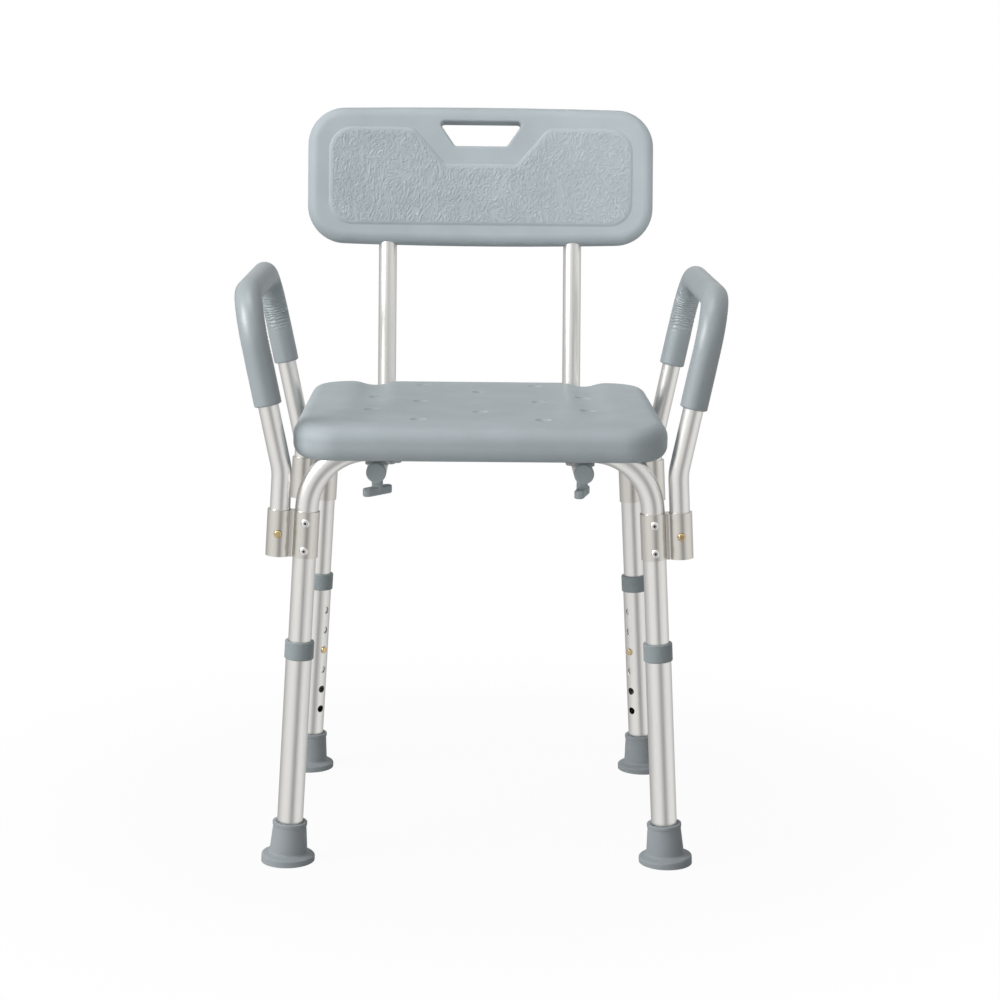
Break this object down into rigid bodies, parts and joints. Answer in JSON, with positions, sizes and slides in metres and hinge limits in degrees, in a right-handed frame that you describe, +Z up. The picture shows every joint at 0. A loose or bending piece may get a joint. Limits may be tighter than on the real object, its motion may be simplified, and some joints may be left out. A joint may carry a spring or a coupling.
{
  "type": "shower chair",
  "caption": "Free-standing shower chair with a drained moulded seat, a backrest with a hand slot, padded lift-off arms and telescopic legs on rubber feet.",
  "frame": {"origin": "on the floor, under the middle of the chair's outline", "axes": "+Z up, front of the chair towards -Y, +X to the right as seen from the front"},
  "size_m": [0.5436, 0.4864, 0.8205],
  "materials": {
    "seat_plastic": "fine grained blow moulding",
    "tube_metal": "satin anodised",
    "bracket_metal": "satin anodised extrusion",
    "grip_foam": "soft matt foam skin",
    "trim_plastic": "moulded, satin",
    "foot_rubber": "matt grey rubber",
    "button_brass": "plated yellow",
    "rivet_metal": "bright",
    "screw_steel": "zinc plated"
  },
  "bodies": {
    "frame": {"seat": "seat_plastic", "backrest": "seat_plastic", "front_frame": "tube_metal", "rear_frame": "tube_metal", "left_back_tube": "tube_metal", "right_back_tube": "tube_metal", "back_tube_caps": "trim_plastic", "backrest_screws": "screw_steel", "seat_screws": "screw_steel", "bracket_rivets": "rivet_metal", "knob_inserts": "button_brass", "front_left_bracket": "bracket_metal", "front_right_bracket": "bracket_metal", "rear_left_bracket": "bracket_metal", "rear_right_bracket": "bracket_metal"},
    "front_left_leg": {"front_left_leg": "tube_metal", "front_left_collar": "trim_plastic", "front_left_foot": "foot_rubber"},
    "front_left_leg_button": {"front_left_leg_button": "button_brass"},
    "front_right_leg": {"front_right_leg": "tube_metal", "front_right_collar": "trim_plastic", "front_right_foot": "foot_rubber"},
    "front_right_leg_button": {"front_right_leg_button": "button_brass"},
    "rear_left_leg": {"rear_left_leg": "tube_metal", "rear_left_collar": "trim_plastic", "rear_left_foot": "foot_rubber"},
    "rear_left_leg_button": {"rear_left_leg_button": "button_brass"},
    "rear_right_leg": {"rear_right_leg": "tube_metal", "rear_right_collar": "trim_plastic", "rear_right_foot": "foot_rubber"},
    "rear_right_leg_button": {"rear_right_leg_button": "button_brass"},
    "left_arm": {"left_arm": "tube_metal", "left_grip": "grip_foam"},
    "front_left_arm_button": {"front_left_arm_button": "button_brass"},
    "rear_left_arm_button": {"rear_left_arm_button": "button_brass"},
    "right_arm": {"right_arm": "tube_metal", "right_grip": "grip_foam"},
    "front_right_arm_button": {"front_right_arm_button": "button_brass"},
    "rear_right_arm_button": {"rear_right_arm_button": "button_brass"},
    "front_left_knob": {"front_left_knob": "trim_plastic", "front_left_knob_screw": "screw_steel"},
    "front_right_knob": {"front_right_knob": "trim_plastic", "front_right_knob_screw": "screw_steel"},
    "rear_left_knob": {"rear_left_knob": "trim_plastic", "rear_left_knob_screw": "screw_steel"},
    "rear_right_knob": {"rear_right_knob": "trim_plastic", "rear_right_knob_screw": "screw_steel"}
  },
  "joints": [
    {"name": "front_left_leg_slide", "type": "slide", "parent": "frame", "child": "front_left_leg", "axis": [-0.0576, 0, -0.9983], "range_m": [-0.0762, 0.0508], "deforming": ["front_left_leg_button"]},
    {"name": "front_left_leg_button_press", "type": "slide", "parent": "frame", "child": "front_left_leg_button", "axis": [-0.7059, -0.7071, 0.0407], "range_m": [0, 0.004], "stiffness_N_per_m": 1500, "springref_m": -0.004},
    {"name": "front_right_leg_slide", "type": "slide", "parent": "frame", "child": "front_right_leg", "axis": [0.0576, 0, -0.9983], "range_m": [-0.0762, 0.0508], "deforming": ["front_right_leg_button"]},
    {"name": "front_right_leg_button_press", "type": "slide", "parent": "frame", "child": "front_right_leg_button", "axis": [0.7059, -0.7071, 0.0407], "range_m": [0, 0.004], "stiffness_N_per_m": 1500, "springref_m": -0.004},
    {"name": "rear_left_leg_slide", "type": "slide", "parent": "frame", "child": "rear_left_leg", "axis": [-0.0576, 0, -0.9983], "range_m": [-0.0762, 0.0508], "deforming": ["rear_left_leg_button"]},
    {"name": "rear_left_leg_button_press", "type": "slide", "parent": "frame", "child": "rear_left_leg_button", "axis": [-0.7059, 0.7071, 0.0407], "range_m": [0, 0.004], "stiffness_N_per_m": 1500, "springref_m": -0.004},
    {"name": "rear_right_leg_slide", "type": "slide", "parent": "frame", "child": "rear_right_leg", "axis": [0.0576, 0, -0.9983], "range_m": [-0.0762, 0.0508], "deforming": ["rear_right_leg_button"]},
    {"name": "rear_right_leg_button_press", "type": "slide", "parent": "frame", "child": "rear_right_leg_button", "axis": [0.7059, 0.7071, 0.0407], "range_m": [0, 0.004], "stiffness_N_per_m": 1500, "springref_m": -0.004},
    {"name": "left_arm_lift", "type": "slide", "parent": "frame", "child": "left_arm", "axis": [0.0576, 0, 0.9983], "range_m": [0, 0.056], "deforming": ["front_left_arm_button", "rear_left_arm_button"]},
    {"name": "front_left_arm_button_press", "type": "slide", "parent": "left_arm", "child": "front_left_arm_button", "axis": [0, 1, 0], "range_m": [0, 0.0044], "stiffness_N_per_m": 1500, "springref_m": -0.004},
    {"name": "rear_left_arm_button_press", "type": "slide", "parent": "left_arm", "child": "rear_left_arm_button", "axis": [0, -1, 0], "range_m": [0, 0.0044], "stiffness_N_per_m": 1500, "springref_m": -0.004},
    {"name": "right_arm_lift", "type": "slide", "parent": "frame", "child": "right_arm", "axis": [-0.0576, 0, 0.9983], "range_m": [0, 0.056], "deforming": ["front_right_arm_button", "rear_right_arm_button"]},
    {"name": "front_right_arm_button_press", "type": "slide", "parent": "right_arm", "child": "front_right_arm_button", "axis": [0, 1, 0], "range_m": [0, 0.0044], "stiffness_N_per_m": 1500, "springref_m": -0.004},
    {"name": "rear_right_arm_button_press", "type": "slide", "parent": "right_arm", "child": "rear_right_arm_button", "axis": [0, -1, 0], "range_m": [0, 0.0044], "stiffness_N_per_m": 1500, "springref_m": -0.004},
    {"name": "front_left_knob_turn", "type": "hinge", "parent": "frame", "child": "front_left_knob", "pos_m": [-0.1142, -0.12872, 0.41], "axis": [0, 0, -1], "continuous": true},
    {"name": "front_right_knob_turn", "type": "hinge", "parent": "frame", "child": "front_right_knob", "pos_m": [0.1142, -0.12872, 0.41], "axis": [0, 0, -1], "continuous": true},
    {"name": "rear_left_knob_turn", "type": "hinge", "parent": "frame", "child": "rear_left_knob", "pos_m": [-0.1142, 0.08628, 0.41], "axis": [0, 0, -1], "continuous": true},
    {"name": "rear_right_knob_turn", "type": "hinge", "parent": "frame", "child": "rear_right_knob", "pos_m": [0.1142, 0.08628, 0.41], "axis": [0, 0, -1], "continuous": true}
  ]
}
